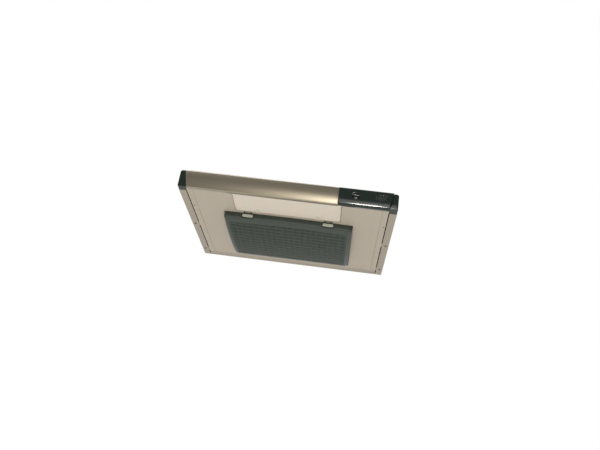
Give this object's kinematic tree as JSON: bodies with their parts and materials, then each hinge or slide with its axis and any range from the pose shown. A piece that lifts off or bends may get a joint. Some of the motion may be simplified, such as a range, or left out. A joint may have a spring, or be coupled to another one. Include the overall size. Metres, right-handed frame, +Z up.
{
  "type": "under cabinet range hood",
  "caption": "Low wedge-shaped cooker hood for under a cabinet, with a hinged filter tray, hinged lamp lens, rotary and rocker controls, blower and top duct collar with flaps.",
  "frame": {"origin": "centre of the four cabinet screw holes, on the flat top face that meets the cabinet", "axes": "+X to the hood's right as seen from the front, +Y to the wall, +Z up into the cabinet"},
  "size_m": [0.6, 0.502, 0.1886],
  "materials": {
    "canopy_paint": "champagne stoved paint, satin",
    "fascia_metal": "metallic champagne lacquer, satin gloss",
    "black_moulding": "gloss green-black moulded plastic",
    "knob_plastic": "gloss black moulded plastic",
    "rocker_plastic": "semi-gloss black moulded plastic",
    "switch_body": "matt black engineering plastic",
    "tray_plastic": "satin dark green-grey plastic",
    "latch_plastic": "satin light grey plastic",
    "lens_plastic": "opal plastic, satin",
    "galvanised": "zinc-plated pressed steel",
    "spring_steel": "bright spring steel",
    "screw_steel": "plated pan-head screws",
    "bright_steel": "ground steel",
    "aluminium_mesh": "layered expanded aluminium mesh",
    "reflector_white": "gloss white reflector paint",
    "holder_plastic": "heat-resistant cream plastic",
    "cap_brass": "nickel-plated lamp cap",
    "lamp_glass": "opal lamp glass",
    "scroll_plastic": "grey moulded scroll plastic",
    "wheel_plastic": "black moulded fan plastic",
    "lamination": "stacked motor laminations",
    "copper_winding": "enamelled copper winding",
    "cast_bracket": "die-cast aluminium",
    "sinter_bronze": "sintered bronze bearing",
    "black_rubber": "black rubber",
    "collar_plastic": "dark grey moulded plastic",
    "terminal_plastic": "off-white moulded plastic",
    "capacitor_plastic": "white capacitor can",
    "wire_pvc": "white PVC sheath"
  },
  "bodies": {
    "hood_body": {"canopy_sheet": "canopy_paint", "side_panel_left": "canopy_paint", "side_panel_right": "canopy_paint", "bottom_panel": "canopy_paint", "fascia": "fascia_metal", "end_cap_left": "black_moulding", "end_cap_right": "black_moulding", "control_panel": "black_moulding", "switch_bracket": "galvanised", "speed_switch": "switch_body", "switch_nut": "galvanised", "light_switch": "switch_body", "panel_screws": "screw_steel", "panel_rivets": "screw_steel", "hinge_brackets": "galvanised", "latch_keepers": "spring_steel", "lens_brackets": "galvanised", "lamp_reflector": "reflector_white", "lamp_holders": "holder_plastic", "lamp_caps": "cap_brass", "lamp_bulbs": "lamp_glass", "scroll_housing": "scroll_plastic", "scroll_cover": "scroll_plastic", "scroll_screws": "screw_steel", "inlet_guard": "scroll_plastic", "hanger_posts": "galvanised", "motor_stator": "lamination", "motor_windings": "copper_winding", "motor_lower_bracket": "cast_bracket", "motor_upper_bracket": "cast_bracket", "motor_bearings": "sinter_bronze", "motor_plate": "galvanised", "rubber_mounts": "black_rubber", "outlet_box": "galvanised", "duct_collar": "collar_plastic", "collar_screws": "screw_steel", "flap_pins": "bright_steel", "terminal_box": "terminal_plastic", "terminal_cover": "terminal_plastic", "capacitor": "capacitor_plastic", "capacitor_clip": "galvanised", "cable_grommet": "black_rubber", "wiring_loom": "wire_pvc"},
    "filter_tray_assembly": {"filter_tray": "tray_plastic", "grease_mat": "aluminium_mesh", "mat_wires": "spring_steel", "latch_spring_left": "spring_steel", "latch_spring_right": "spring_steel"},
    "left_latch": {"latch_left": "latch_plastic"},
    "right_latch": {"latch_right": "latch_plastic"},
    "lens": {"lamp_lens": "lens_plastic"},
    "knob": {"speed_knob": "knob_plastic", "knob_shaft": "bright_steel"},
    "rocker": {"light_rocker": "rocker_plastic"},
    "fan": {"fan_wheel": "wheel_plastic", "motor_shaft": "bright_steel", "motor_rotor": "lamination"},
    "front_flap": {"flap_front": "collar_plastic"},
    "rear_flap": {"flap_rear": "collar_plastic"}
  },
  "joints": [
    {"name": "filter_tray_hinge", "type": "hinge", "parent": "hood_body", "child": "filter_tray_assembly", "pos_m": [0, 0.088, -0.126], "axis": [1, 0, 0], "range_deg": [0, 90], "deforming": ["latch_keepers"]},
    {"name": "latch_left_slide", "type": "slide", "parent": "filter_tray_assembly", "child": "left_latch", "axis": [0, 1, 0], "range_m": [0, 0.0042], "stiffness_N_per_m": 400, "springref_m": -0.004, "deforming": ["latch_spring_left"]},
    {"name": "latch_right_slide", "type": "slide", "parent": "filter_tray_assembly", "child": "right_latch", "axis": [0, 1, 0], "range_m": [0, 0.0042], "stiffness_N_per_m": 400, "springref_m": -0.004, "deforming": ["latch_spring_right"]},
    {"name": "lamp_lens_hinge", "type": "hinge", "parent": "hood_body", "child": "lens", "pos_m": [0, -0.3245, -0.1275], "axis": [-1, 0, 0], "range_deg": [0, 80]},
    {"name": "speed_knob_turn", "type": "hinge", "parent": "hood_body", "child": "knob", "pos_m": [0.185, -0.345, -0.102], "axis": [0, 1, 0], "range_deg": [0, 135]},
    {"name": "light_rocker_tilt", "type": "hinge", "parent": "hood_body", "child": "rocker", "pos_m": [0.256, -0.334, -0.1], "axis": [0, 0, 1], "range_deg": [0, 14]},
    {"name": "fan_spin", "type": "hinge", "parent": "hood_body", "child": "fan", "pos_m": [-0.068, -0.07843, -0.05], "axis": [0, 0, 1], "continuous": true},
    {"name": "front_flap_hinge", "type": "hinge", "parent": "hood_body", "child": "front_flap", "pos_m": [0, 0.081, 0.012], "axis": [-1, 0, 0], "range_deg": [0, 80]},
    {"name": "rear_flap_hinge", "type": "hinge", "parent": "hood_body", "child": "rear_flap", "pos_m": [0, 0.089, 0.012], "axis": [1, 0, 0], "range_deg": [0, 80]}
  ]
}
